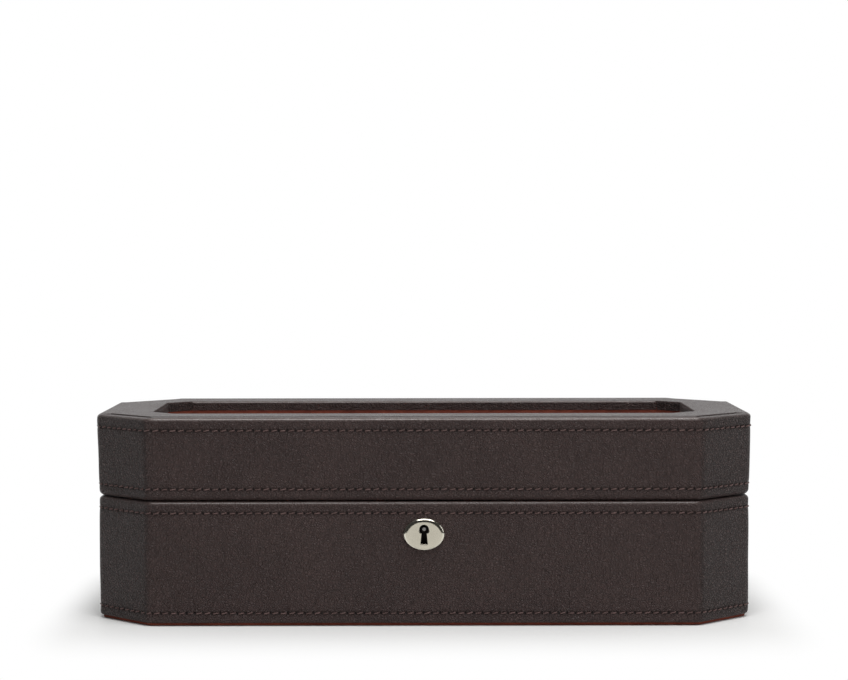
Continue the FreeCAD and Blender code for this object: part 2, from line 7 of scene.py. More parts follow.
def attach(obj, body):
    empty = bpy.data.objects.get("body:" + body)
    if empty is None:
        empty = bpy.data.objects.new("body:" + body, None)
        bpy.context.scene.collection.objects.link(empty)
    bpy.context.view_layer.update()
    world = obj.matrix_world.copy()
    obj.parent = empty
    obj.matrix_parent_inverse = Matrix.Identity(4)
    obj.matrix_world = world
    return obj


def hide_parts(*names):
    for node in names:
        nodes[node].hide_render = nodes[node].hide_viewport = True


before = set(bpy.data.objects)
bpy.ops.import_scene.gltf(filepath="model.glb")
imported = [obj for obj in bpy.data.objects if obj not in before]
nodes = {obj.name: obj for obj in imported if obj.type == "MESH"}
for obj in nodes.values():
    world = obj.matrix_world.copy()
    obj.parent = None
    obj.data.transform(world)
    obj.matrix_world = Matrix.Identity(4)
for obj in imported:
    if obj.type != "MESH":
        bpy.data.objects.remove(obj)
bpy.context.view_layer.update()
scene = bpy.context.scene
mm = 0.001


def shade(red, green, blue):
    # display colour of 0 to 255 as the linear value a shader takes
    linear = [((c / 255 + 0.055) / 1.055) ** 2.4 if c > 10 else c / 255 / 12.92 for c in (red, green, blue)]
    return (*linear, 1.0)


class Wire:
    # a socket in a shader tree; each operator adds one Math node
    def __init__(self, finish, socket):
        self.finish, self.socket = finish, socket

    def __add__(self, other):
        return self.finish.maths("ADD", self, other)

    __radd__ = __add__

    def __sub__(self, other):
        return self.finish.maths("SUBTRACT", self, other)

    def __rsub__(self, other):
        return self.finish.maths("SUBTRACT", other, self)

    def __mul__(self, other):
        return self.finish.maths("MULTIPLY", self, other)

    def __truediv__(self, other):
        return self.finish.maths("DIVIDE", self, other)


class Finish:
    # one material, or the world, and the nodes that make it
    def __init__(self, name, owner=None):
        self.data = owner or bpy.data.materials.new(name)
        self.data.use_nodes = True
        self.tree = self.data.node_tree
        self.tree.nodes.clear()

    def node(self, kind, settings=None, sockets=None, out=0):
        made = self.tree.nodes.new("ShaderNode" + kind)
        for key, value in (settings or {}).items():
            setattr(made, key, value)
        for key, value in (sockets or {}).items():
            if isinstance(value, Wire):
                self.tree.links.new(value.socket, made.inputs[key])
            else:
                made.inputs[key].default_value = value
        return Wire(self, made.outputs[out]) if len(made.outputs) else made

    def maths(self, operation, left, right=0.0):
        return self.node("Math", {"operation": operation}, {0: left, 1: right})

    def mix(self, factor, first, second):
        return self.node("Mix", {"data_type": "RGBA"}, {0: factor, 6: first, 7: second}, 2)

    def step(self, value, low, high):
        # smooth rise from 0 at low to 1 at high
        return self.node("MapRange", {"interpolation_type": "SMOOTHSTEP"}, {0: value, 1: low, 2: high})

    def axis(self, vector, number):
        return self.node("SeparateXYZ", None, {0: vector}, number)

    def place(self, scale=(1, 1, 1), turn=(0, 0, 0)):
        spot = self.node("TexCoord", out=3)
        return self.node("Mapping", None, {0: spot, "Rotation": turn, "Scale": scale})

    def noise(self, vector, scale, detail=2.0, rough=0.5):
        return self.node("TexNoise", None, {"Vector": vector, "Scale": scale, "Detail": detail, "Roughness": rough})

    def cellEdge(self, vector, scale):
        return self.node("TexVoronoi", {"feature": "DISTANCE_TO_EDGE"}, {"Vector": vector, "Scale": scale})

    def rays(self):
        # each is 1 for rays of its kind
        return [self.node("LightPath", out="Is %s Ray" % kind) for kind in ("Camera", "Glossy", "Transmission")]

    def bump(self, height, strength, distance):
        return self.node("Bump", None, {"Height": height, "Strength": strength, "Distance": distance})

    def surface(self, sockets, kind="BsdfPrincipled", end="OutputMaterial"):
        made = self.node(kind, None, sockets)
        self.node(end, None, {"Surface": made})
        return self.data


# The plan of the box: straight sides joined by 45 degree corner cuts, every vertex rounded
plan = dict(halfWidth=171.5, halfDepth=73.0, cornerCut=28.5, cornerRound=6.5, spacing=3.0, endShare=0.25,
            sideSteps=30, cutSteps=14, arcSteps=6, hug=0.02, stitchPitch=4.36)
hinge = dict(centres=(-90.0, 90.0), half=18.0, room=18.9, y=71.2, z=64.7, seat=(63.8, 71.2), groove=1.95, edge=3.6)
lockSeat = dict(half=26.0, y=(-70.0, -63.6), cut=(-69.9, -63.9), cutHalf=15.0)
keyRoom = dict(half=3.2, z=(42.0, 53.0))
reach = 126.0  # fixed places along the front and rear stop here, short of every inset's own corner


def spread(low, high, step, marks=()):
    # even places between two limits, with two places hugging each mark
    even = np.linspace(low, high, int(round((high - low) / step)) + 1)
    near = np.array([mark + side * plan["hug"] for mark in marks for side in (-1, 1)])
    return np.unique(np.concatenate([even, near]))


hingeMarks = [c + s * e for c in hinge["centres"] for s in (-1, 1) for e in (hinge["half"], hinge["room"])]
lockMarks = [s * e for s in (-1, 1) for e in (lockSeat["half"], keyRoom["half"])]
frontPlaces = spread(-reach, reach, plan["spacing"], lockMarks)
rearPlaces = -spread(-reach, reach, plan["spacing"], hingeMarks)
plateInsets = (plan["halfDepth"] + lockSeat["y"][1], plan["halfDepth"] - hinge["seat"][0])


def planOutline(insets, radii):
    # Octagon moved in by each inset. A side runs between the tangent points of its two vertices, at fixed
    # places on the front and rear and at even shares elsewhere. A vertex is an arc of 45 degrees in even steps.
    insets, radii = np.asarray(insets, float), np.asarray(radii, float)
    w, d = plan["halfWidth"] - insets, plan["halfDepth"] - insets
    cut = plan["cornerCut"] - insets * (2 - math.sqrt(2))
    corners = [(cut - w, -d), (w - cut, -d), (w, cut - d), (w, d - cut),
               (w - cut, d), (cut - w, d), (-w, d - cut), (-w, cut - d)]
    corners = [np.stack(corner, -1) for corner in corners]
    tangent = radii[:, None] * math.tan(math.pi / 8)
    shares = spread(0, 1, plan["endShare"])[:, None, None]
    points, normals = [], []
    for side in range(8):
        turn = side * math.pi / 4
        along = np.array([math.cos(turn), math.sin(turn)])
        normal = np.array([math.sin(turn), -math.cos(turn)])
        start, end = corners[side] + tangent * along, corners[(side + 1) % 8] - tangent * along
        if side in (0, 4):
            fixed = frontPlaces if side == 0 else rearPlaces
            middle = np.stack(np.broadcast_arrays(fixed[:, None], start[:, 1]), -1)
            run = np.concatenate([start + shares[:-1] * (middle[0] - start), middle,
                                  middle[-1] + shares[1:] * (end - middle[-1])])
        else:
            steps = plan["cutSteps"] if side % 2 else plan["sideSteps"]
            run = start + np.linspace(0, 1, steps + 1)[:, None, None] * (end - start)
        points.append(run)
        normals.append(np.broadcast_to(normal, (len(run), 2)))
        lean = turn - math.pi / 2 + np.linspace(0, math.pi / 4, plan["arcSteps"] + 1)[1:-1]
        spokes = np.stack([np.cos(lean), np.sin(lean)], -1)
        points.append(end - radii[:, None] * normal + radii[:, None] * spokes[:, None, :])
        normals.append(spokes)
    return np.concatenate(points), np.concatenate(normals)


def lengths(points):
    # length along a line of points, at each of them
    return np.concatenate([[0.0], np.cumsum(np.linalg.norm(np.diff(points, axis=0), axis=1))])


outlineXy, outlineNormal = planOutline([0.0], [plan["cornerRound"]])
closedXy = np.concatenate([outlineXy[:, 0], outlineXy[:1, 0]])
closedNormal = np.concatenate([outlineNormal, outlineNormal[:1]])
outlineAt = lengths(closedXy)
girth = outlineAt[-1]
onCut = np.clip(2 * np.abs(outlineNormal[:, :1] * outlineNormal[:, 1:]), 0, 1)  # 1 on a corner cut, 0 on a side
stitchCount = int(round(girth / plan["stitchPitch"]))
stitchPitch = girth / stitchCount


def profileRun(start, end, places):
    # straight run of a profile at shares of its length; the normal stands to its left
    shares = np.asarray(places, float)[:, None]
    point = np.array(start) + shares * np.subtract(end, start)
    out, up = start[0] - end[0], end[1] - start[1]
    size = math.hypot(out, up)
    return np.concatenate([point, np.broadcast_to([-up / size, out / size], point.shape)], 1)


def profileTurn(centre, radius, first, last, steps):
    # arc of a profile, degrees from straight out (0) through up (90) to straight in (180)
    angle = np.radians(np.linspace(first, last, steps + 1))
    out, up = np.cos(angle), np.sin(angle)
    return np.stack([centre[0] - radius * out, centre[1] + radius * up, out, up], -1)


def faced(profile, up):
    # a stretch of profile whose normal is set straight up (1) or down (-1)
    return np.concatenate([profile[:, :2], np.broadcast_to([0.0, up], (len(profile), 2))], 1)


def joinProfile(*pieces):
    # pieces end to end, without the doubled places
    whole = np.concatenate(pieces)
    gap = np.linalg.norm(np.diff(whole[:, :2], axis=0), axis=1)
    return whole[np.concatenate([[True], gap > 1e-4])]


def sweep(profile, radii, thick, lean=0.0):
    # carries a profile (inset, height, normal) round the plan, as an outer sheet and one a thickness within;
    # lean is how far each place of the profile is pushed out, along the plan's normal
    inset, height, out, up = profile.T
    sheets = []
    for depth in (0.0, thick):
        xy, normal = planOutline(inset + depth * out, np.maximum(radii - depth * out, 0.05))
        xy = xy + normal[:, None, :] * np.broadcast_to(lean, inset.shape)[None, :, None]
        z = np.broadcast_to(height - depth * up, xy.shape[:2])
        sheets.append(np.concatenate([xy, z[..., None]], -1))
    facing = np.concatenate([normal[:, None, :] * out[None, :, None],
                             np.broadcast_to(up[None, :, None], (len(normal), len(up), 1))], -1)
    return sheets[0], sheets[1], facing


def makePiece(name, points, faces, finish, uv=None, sharp=40, wear=None):
    # mesh in metres at the origin, from points in millimetres
    mesh = bpy.data.meshes.new(name)
    mesh.from_pydata((points * mm).tolist(), [], faces.tolist() if isinstance(faces, np.ndarray) else faces)
    if uv is not None:
        layer = mesh.uv_layers.new(name="along")
        layer.data.foreach_set("uv", np.ascontiguousarray(uv, np.float32).ravel())
    # a wear mask, which also carries a painted highlight in the leather's colour
    if wear is not None:
        layer = mesh.attributes.new("wear", "FLOAT", "POINT")
        layer.data.foreach_set("value", np.ascontiguousarray(wear, np.float32))
    mesh.polygons.foreach_set("use_smooth", np.ones(len(mesh.polygons), bool))
    mesh.set_sharp_from_angle(angle=math.radians(sharp))
    mesh.materials.append(finish)
    mesh.update()
    piece = bpy.data.objects.new(name, mesh)
    scene.collection.objects.link(piece)
    return piece


def ringFaces(rings, sides):
    # faces of a grid closed around each ring and from the last ring to the first
    index = np.arange(rings * sides).reshape(rings, sides)
    ahead = np.roll(index, -1, 0)
    return np.stack([index, ahead, np.roll(ahead, -1, 1), np.roll(index, -1, 1)], -1).reshape(-1, 4)


# Wear of the leather's edges, partly real wear and partly a painted highlight on the edges and on what faces up;
# places further in than the window's inset belong to the window
rubbingAndHighlight = dict(windowInset=15.0, endsGain=1.4, dull=1.8, cut=0.7, flat=0.22, flatPower=8)


def edgeWearAndHighlight(profile, rub):
    # full where an upper edge turns at 45 degrees, where it paints the edge's highlight, and slight on what faces
    # up, which is painted a little lighter; it is less on the corner cuts, and below zero, which is dull, at the
    # window's ends
    r = rubbingAndHighlight
    up = np.clip(profile[:, 3], 0, 1)
    turned = 2 * np.abs(profile[:, 2]) * up
    atEnds = np.clip(r["endsGain"] * np.abs(outlineNormal[:, :1]), 0, 1)
    spared = np.where(profile[:, 0] > r["windowInset"], r["dull"] * atEnds, r["cut"] * onCut)
    return rub * (turned * (1 - spared) + r["flat"] * up ** r["flatPower"])


def skin(name, outer, inner, profile, rub, keep=None):
    # Outer and inner are two sheets on one grid, closed along the path. A kept cell is a face on both sheets,
    # and each border of the kept cells, at a hole or at an end of the profile, is a wall between them.
    rows, cols = outer.shape[:2]
    if keep is None:
        keep = np.ones((rows, cols - 1), bool)
    across = lengths(profile[:, :2])
    wear = edgeWearAndHighlight(profile, rub).ravel()
    grid = np.arange((rows + 1) * cols).reshape(rows + 1, cols)
    back = grid.size
    corner = np.stack([grid[:-1, :-1], grid[:-1, 1:], grid[1:, 1:], grid[1:, :-1]], -1)[keep]
    faces = [corner, corner[:, ::-1] + back]
    before = np.roll(keep, 1, 0)
    for border, order in ((keep & ~before, 1), (before & ~keep, -1)):
        near, far = grid[:-1, :-1][border], grid[:-1, 1:][border]
        faces.append(np.stack([near, near + back, far + back, far], -1)[:, ::order])
    wide = np.pad(keep, ((0, 0), (1, 1)))
    for border, order in ((wide[:, 1:] & ~wide[:, :-1], 1), (wide[:, :-1] & ~wide[:, 1:], -1)):
        near, far = grid[:-1][border], grid[1:][border]
        faces.append(np.stack([near, far, far + back, near + back], -1)[:, ::order])
    virtual = np.concatenate(faces)
    sheet = virtual >= back
    place = virtual - sheet * back
    uv = np.stack([outlineAt[place // cols], across[place % cols]], -1) * mm
    real = place % (rows * cols) + sheet * (rows * cols)
    used, packed = np.unique(real, return_inverse=True)
    points = np.concatenate([outer.reshape(-1, 3), inner.reshape(-1, 3)])[used]
    return makePiece(name, points, packed.reshape(real.shape), brownLeather, uv.reshape(-1, 2),
                     wear=wear[used % (rows * cols)])


ripples = ((0.07, 9, 11, 0.0), (0.05, 23, -6, 1.3), (0.03, 57, 4, 0.4))  # size, waves round the plan, lean, start


def ripple(height):
    # slow unevenness of hand-laid leather: a sum of sines that close round the plan and lean with height
    turn = 2 * math.pi * outlineAt[:-1, None] / girth
    return sum(size * np.sin(waves * turn + height / lean + start) for size, waves, lean, start in ripples)


sewn = dict(width=0.55, broad=2.2, broadDip=0.12, fade=6)  # the dip along a row, narrow and broad


def dressSides(outer, lean, profile, low, high, cover):
    # leather over a padded side: it swells as the root of a parabola between the side's ends, dips as two bells
    # where each row is sewn, and ripples
    height = profile[:, 1]
    swell = np.clip((height - low) * (high - height) / ((high - low) / 2) ** 2, 0, 1) ** 0.5
    away = height - np.array(cover["rows"])[:, None]
    narrow, broad = (np.exp(-(away / sewn[size]) ** 2) for size in ("width", "broad"))
    dip = (cover["dip"] * narrow + sewn["broadDip"] * broad).sum(0)
    move = cover["swell"] * swell - dip + ripple(height)
    move = move * np.clip(profile[:, 2], 0, 1) ** 2 * np.clip(swell * sewn["fade"], 0, 1)
    return outer + lean * move[..., None]


seating = dict(near=3.2, outerGap=0.03, innerGap=0.01, grooveGap=0.13)


def pressSeats(sheet, rim, floor, groove, side):
    # plates lie flush in the rim: the leather under them goes down to the board, and round the hinge
    # barrels it follows a groove about the hinge line
    x, y, z = np.moveaxis(sheet, -1, 0)
    nearRim = np.abs(z - rim) < seating["near"]
    plates = [(0.0, lockSeat["half"], lockSeat["y"]), *((c, hinge["half"], hinge["seat"]) for c in hinge["centres"])]
    seats = np.any([(np.abs(x - c) < half) & (y > low) & (y < high) for c, half, (low, high) in plates], axis=0)
    barrels = np.any([np.abs(x - c) < hinge["room"] for c in hinge["centres"]], axis=0)
    grooved = barrels & (np.abs(y - hinge["y"]) < groove)
    deeper = np.minimum if side < 0 else np.maximum
    z = np.where(seats & nearRim, deeper(z, floor), z)
    drop = np.sqrt(np.maximum(groove ** 2 - (y - hinge["y"]) ** 2, 0))
    z = np.where(grooved & nearRim, deeper(z, hinge["z"] + side * drop), z)
    return np.stack([x, y, z], -1)


def easeRear(sheet, rim, side):
    # along the rear the rim's edge is rounder, so that both rims clear each other with the lid open: a point
    # outside a circle of the rear's own radius is drawn in to it
    x, y, z = np.moveaxis(sheet, -1, 0)
    middleY, middleZ = plan["halfDepth"] - hinge["edge"], rim + side * hinge["edge"]
    outside = (y > middleY) & (side * (z - middleZ) < 0)
    far = np.hypot(y - middleY, z - middleZ)
    draw = np.where(outside, np.minimum(1, hinge["edge"] / np.maximum(far, 1e-6)), 1)
    return np.stack([x, middleY + (y - middleY) * draw, middleZ + (z - middleZ) * draw], -1)


def fitRim(outer, inner, rim, thick, side):
    # side is -1 for the base, whose rim faces up, and 1 for the lid
    s, groove = seating, hinge["groove"]
    outer = easeRear(outer, rim, side)
    outer = pressSeats(outer, rim, rim + side * (thick - s["outerGap"]), groove, side)
    inner = pressSeats(inner, rim, rim + side * (thick - s["innerGap"]), groove + s["grooveGap"], side)
    return outer, inner


fineness = dict(rimStep=1.2, aboutRow=(0, 0.25, 0.5, 0.9, 1.4, 2.2, 3.2), even=10, apart=1.0)


def rimRun(first, last, height):
    # a rim's flat from one inset to another, with places hugging the inner edge of each plate
    length = abs(last - first)
    places = spread(0.0, length, fineness["rimStep"], [abs(inset - first) for inset in plateInsets])
    return profileRun((first, height), (last, height), places / length)


def sideRun(low, high, rows, extra=()):
    # a side from its upper end down: even places, and finer ones about each sewn row
    near = np.array([row + way * step for row in rows for way in (-1, 1) for step in fineness["aboutRow"]])
    even = np.linspace(low, high, fineness["even"])
    even = even[np.min(np.abs(even[:, None] - near), axis=1) > fineness["apart"]]
    places = np.unique(np.concatenate([even, near, [low, high], np.array(extra, float)]))
    places = places[(places >= low) & (places <= high)]
    return profileRun((0, high), (0, low), (high - places[::-1]) / (high - low))


print("plan: girth %.1f mm, %d stitches a row, pitch %.3f mm" % (girth, stitchCount, stitchPitch))

# Brown leather: fine pebbled grain with creases, painted shade in the grain's valleys and in the needle holes along
# the sewn rows, and a painted highlight on its worn edges
leatherLook = dict(base=shade(61, 46, 44), dark=shade(32, 22, 20), light=shade(76, 59, 56),
                   rubbedAndHighlit=shade(122, 109, 105), hole=shade(18, 12, 12), rough=0.42, specular=0.32, coatRough=0.2,
                   coatIor=1.6, pebbles=760.0, cells=300.0, creases=420.0, pores=3200.0, tones=26.0, flecks=190.0,
                   bend=0.0012, relief=0.0013,
                   rowLine=(0.0002, 0.0011), rowShade=(0.0003, 0.0026), holeSpan=(0.03, 0.13), holeDepth=1.6)


def leatherFinish(rows):
    look = leatherLook
    f = Finish("brownLeather")
    spot = f.place()
    warp = f.node("TexNoise", None, {"Vector": spot, "Scale": look["creases"], "Detail": 2.0}, 1)
    warp = f.node("VectorMath", {"operation": "SUBTRACT"}, {0: warp, 1: (0.5, 0.5, 0.5)})
    bent = f.node("VectorMath", {"operation": "MULTIPLY_ADD"}, {0: warp, 1: (look["bend"],) * 3, 2: spot})
    pebble = f.step(f.cellEdge(bent, look["pebbles"]), 0.0, 0.3)
    grainTone = f.axis(f.node("TexVoronoi", None, {"Vector": bent, "Scale": look["pebbles"]}, 1), 0)
    broad = f.step(f.cellEdge(bent, look["cells"]), 0.0, 0.14)
    crease = f.noise(bent, look["creases"], 4.0, 0.6)
    pore = f.noise(spot, look["pores"])
    tone = f.noise(spot, look["tones"], 3.0, 0.55)
    fleck = f.noise(spot, look["flecks"], 3.0, 0.6)
    # the wear mask: real wear in roughness, coat and relief, and a painted highlight in the colour
    wear = f.node("Attribute", {"attribute_name": "wear"}, out="Fac")
    wornAndHighlit, dull = f.maths("MAXIMUM", wear, 0.0), f.maths("MAXIMUM", 0 - wear, 0.0)
    # on the corner cuts the relief is stronger, and the colour carries painted glints and painted shade: lighter
    # pebbles and darker valleys
    facing = f.node("TexCoord", out=1)
    onCorner = f.step(f.maths("ABSOLUTE", f.axis(facing, 0) * f.axis(facing, 1)), 0.2, 0.48)
    height = (pebble * 0.55 + broad * 0.3 + crease * 0.8 + pore * 0.14) * (1 - wornAndHighlit * 0.7) * (0.6 + onCorner * 0.35)
    # needle holes: painted shade as short dark marks at every stitch's ends along each row, and a painted shade band
    # along each row
    level = f.axis(spot, 2)
    away = [f.maths("ABSOLUTE", level - row * mm) for row in rows]
    rowLine = sum(1 - f.step(each, *look["rowLine"]) for each in away)
    rowShade = sum(1 - f.step(each, *look["rowShade"]) for each in away)
    share = f.maths("FRACT", f.axis(f.node("UVMap", {"uv_map": "along"}), 0) / (stitchPitch * mm))
    hole = (1 - f.step(f.maths("MINIMUM", share, 1 - share), *look["holeSpan"])) * rowLine
    colour = f.mix(f.step(tone, 0.3, 0.7) * 0.45, look["base"], look["light"])
    colour = f.mix(f.step(fleck, 0.42, 0.75) * 0.22, colour, look["dark"])
    # pebbles of random lighter tone, much lighter on the corner cuts as painted glints
    colour = f.mix(f.step(grainTone, 0.2, 1.0) * (0.12 + onCorner * 0.45), colour, look["light"])
    # painted shade: the valleys between pebbles and between broader cells are darkened, most on the corner cuts
    colour = f.mix((1 - pebble) * (0.36 + onCorner * 0.5), colour, look["dark"])
    colour = f.mix((1 - broad) * 0.22, colour, look["dark"])
    # painted highlight, partly real rub-off: worn edges and what faces up are lightened towards a pale rubbed colour
    colour = f.mix(wornAndHighlit * (0.15 + fleck * 0.4), colour, look["rubbedAndHighlit"])
    # painted shade along each sewn row and in its needle holes
    colour = f.mix(rowShade * 0.15, colour, look["dark"])
    colour = f.mix(f.maths("MINIMUM", hole, 1.0) * 0.6, colour, look["hole"])
    rough = look["rough"] + (1 - pebble) * 0.12 + (tone - 0.5) * 0.16 - wornAndHighlit * 0.17 + dull * 0.5
    return f.surface({"Base Color": colour, "Roughness": rough, "Specular IOR Level": look["specular"],
                      "Coat Weight": wornAndHighlit * (0.3 + fleck), "Coat Roughness": look["coatRough"],
                      "Coat IOR": look["coatIor"],
                      "Normal": f.bump(height - hole * look["holeDepth"], 1.0, look["relief"])})


# each cover's last key scales the wear and the painted highlight of its edges
baseCover = dict(bottom=2.0, lip=1.3, top=64.4, round=1.9, topRound=1.9, thick=1.2, turnIn=10.2, rows=(6.6, 58.4),
                 dip=0.3, swell=0.18, wear=0.6)
lidCover = dict(bottom=65.0, top=107.8, round=2.6, topRound=1.9, thick=1.2, turnIn=10.2, rows=(70.8, 101.2), dip=0.3,
                swell=0.15, seam=7.0, flare=1.0, flareFrom=66.0, flareOver=38.0, board=106.8, end=0.3, sink=0.3,
                wear=1.0)
topCover = dict(seam=7.1, top=108.0, hole=28.2, holeRound=1.2, holeCorner=1.8, seamCorner=0.3, turnDown=102.9,
                thick=1.1, flareShare=0.8, wear=1.0)
brownLeather = leatherFinish(baseCover["rows"] + lidCover["rows"])


def makeBaseLeather():
    # closed C section: over the rim from the inside, round the edge, down the side and under the bottom edge,
    # which hangs as a lip in front of the bottom panel
    c = baseCover
    low, high = c["lip"] + c["round"], c["top"] - c["topRound"]
    profile = joinProfile(
        rimRun(c["turnIn"], c["topRound"], c["top"]),
        profileTurn((c["topRound"], high), c["topRound"], 90, 0, 10),
        sideRun(low, high, c["rows"], keyRoom["z"]),
        profileTurn((c["round"], low), c["round"], 0, -90, 8),
        faced(profileRun((c["round"], c["lip"]), (c["round"], c["bottom"]), np.linspace(0, 1, 3)), -1),
        profileRun((c["round"], c["bottom"]), (c["turnIn"], c["bottom"]), np.linspace(0, 1, 4)))
    radii = np.maximum(plan["cornerRound"] - profile[:, 0], 0.1)
    outer, inner, lean = sweep(profile, radii, c["thick"])
    outer = dressSides(outer, lean, profile, low, high, c)
    outer, inner = fitRim(outer, inner, c["top"], c["thick"], -1)
    ahead = np.roll(outer, -1, 0)
    middle = (outer[:, :-1] + outer[:, 1:] + ahead[:, :-1] + ahead[:, 1:]) / 4  # of each cell
    x, y, z = np.moveaxis(middle, -1, 0)
    low, high = keyRoom["z"]
    keyhole = (np.abs(x) < keyRoom["half"]) & (y < 0) & (z > low) & (z < high)
    # the lock's slots go down through the rim
    front, rear = lockSeat["cut"]
    slots = (np.abs(x) < lockSeat["cutHalf"]) & (y > front) & (y < rear) & (z > high)
    return skin("baseLeather", outer, inner, profile, c["wear"], ~(keyhole | slots))


def lidFlare(height):
    # the lid's sides lean out a little towards its top
    return lidCover["flare"] * np.clip((height - lidCover["flareFrom"]) / lidCover["flareOver"], 0, 1)


def makeLidLeather():
    # closed C section: from the seam on the top, where it is pared thinner, round the top edge, down the side,
    # round and under the rim
    c = lidCover
    low, high = c["bottom"] + c["round"], c["top"] - c["topRound"]
    seamIn = c["seam"] - c["end"]
    profile = joinProfile(
        faced(profileTurn((seamIn, c["top"] - c["end"]), c["end"], 180, 90, 3), 1),
        profileRun((seamIn, c["top"]), (c["topRound"], c["top"]), np.linspace(0, 1, 5)),
        profileTurn((c["topRound"], high), c["topRound"], 90, 0, 12),
        sideRun(low, high, c["rows"]),
        profileTurn((c["round"], low), c["round"], 0, -90, 10),
        rimRun(c["round"], c["turnIn"], c["bottom"]))
    radii = np.maximum(plan["cornerRound"] - profile[:, 0], 0.1)
    pared = np.clip(profile[:, 3], 0, 1)
    thick = c["thick"] * (1 - pared) + (profile[:, 1] - c["board"]) * pared
    outer, inner, lean = sweep(profile, radii, thick, lidFlare(profile[:, 1]))
    outer = dressSides(outer, lean, profile, low, high, c)
    # the top flange lies a little deeper on the corner cuts
    outer[..., 2] -= c["sink"] * onCut * pared ** 2 * (profile[:, 1] > high)
    outer, inner = fitRim(outer, inner, c["bottom"], c["thick"], 1)
    return skin("lidLeather", outer, inner, profile, c["wear"])


folds = dict(line=12.1, core=1.0, fade=3.0, depth=0.28, sink=0.1, wallShare=1.3, low=0.8, flatRipple=0.8)


def makeTopLeather():
    # flat border round the window: up its wall from below, round the edge and out to the seam
    c = topCover
    flatIn, wallTop = c["hole"] - c["holeRound"], c["top"] - c["holeRound"]
    end = lidCover["end"]
    seamOut = c["seam"] + end
    profile = joinProfile(
        profileRun((c["hole"], c["turnDown"]), (c["hole"], wallTop), np.linspace(0, 1, 7)),
        profileTurn((flatIn, wallTop), c["holeRound"], 180, 90, 10),
        profileRun((flatIn, c["top"]), (seamOut, c["top"]), np.linspace(0, 1, 12)),
        faced(profileTurn((seamOut, c["top"] - end), end, 90, 0, 3), 1))
    inset, height, _, up = profile.T
    thick = np.where(up > 0.999, height - lidCover["board"], c["thick"])
    share = (inset - c["seam"]) / (c["hole"] - c["seam"])
    radii = c["seamCorner"] + (c["holeCorner"] - c["seamCorner"]) * share
    flare = lidCover["flare"] * np.clip(1 - share / c["flareShare"], 0, 1)
    outer, inner, lean = sweep(profile, radii, thick, flare)
    # the leather gathers in small upright folds where it turns down round the window's corners: two crossed sines,
    # kept near the corner cuts and to the wall
    x, y = outer[..., 0], outer[..., 1]
    turned = np.abs(x) + np.abs(y) - (plan["halfWidth"] + plan["halfDepth"] - 2 * c["hole"] - folds["line"])
    nearCut = np.exp(-(np.maximum(np.abs(turned) - folds["core"], 0) / folds["fade"]) ** 2)
    fold = np.sin((x * np.sign(y) - y * np.sign(x)) * 1.7 + 0.6 * np.sin(y * 0.9)) * 0.6
    fold = fold + np.sin(x * 2.9 + y * 1.1) * 0.4
    wall = np.clip((inset - flatIn) / c["holeRound"] * folds["wallShare"], 0, 1)
    low = np.clip((height - c["turnDown"]) / folds["low"], 0, 1)
    move = (folds["depth"] * fold - folds["sink"]) * nearCut * wall * low
    # the flat ripples a little, away from the seam and the window's edge
    flat = np.clip(up, 0, 1) ** 2 * np.clip((share - 0.04) * 12, 0, 1) * np.clip((0.9 - share) * 12, 0, 1)
    move = move + ripple(inset) * folds["flatRipple"] * flat
    return skin("lidTopLeather", outer + lean * move[..., None], inner, profile, c["wear"])


baseLeather = makeBaseLeather()
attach(baseLeather, "base")
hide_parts("base_leather_band")
lidLeather = makeLidLeather()
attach(lidLeather, "lid")
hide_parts("lid_leather_band")
topLeather = makeTopLeather()
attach(topLeather, "lid")
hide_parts("lid_top_leather")
leatherFaces = tuple(len(piece.data.polygons) for piece in (baseLeather, lidLeather, topLeather))
print("leather: base %d, lid %d, top %d faces" % leatherFaces)

# Sewn rows: short slanted stitches that rise from one needle hole and dive into the next. The wander, in radians
# a stitch, sways lift, slant and height.
stitch = dict(length=3.5, radius=0.36, taper=0.22, rise=0.06, dive=0.95, slant=0.34, wander=2.399,
              sway=(0.05, 0.35, 0.06), rings=7, sides=6)
threadLook = dict(dull=shade(85, 66, 63), bright=shade(108, 86, 83), dark=shade(52, 38, 37), twist=38.0, rough=0.62)


def threadFinish():
    look = threadLook
    f = Finish("sewingThread")
    uv = f.node("UVMap", {"uv_map": "along"})
    u, v = f.axis(uv, 0), f.axis(uv, 1)
    ply = f.maths("SINE", u * look["twist"] + v * (2 * math.pi))
    number = f.node("TexWhiteNoise", {"noise_dimensions": "1D"}, {"W": f.maths("FLOOR", u)})
    fuzz = f.noise(f.place(), 5200.0)
    colour = f.mix(number, look["dull"], look["bright"])
    # painted shade in the grooves between the twisted plies, where the relief is lowest
    colour = f.mix(f.step(ply, -0.2, -1.0) * 0.5, colour, look["dark"])
    return f.surface({"Base Color": colour, "Roughness": look["rough"] + fuzz * 0.2, "Specular IOR Level": 0.35,
                      "Normal": f.bump(ply * 0.5 + fuzz * 0.4, 0.5, 0.00012)})


sewingThread = threadFinish()


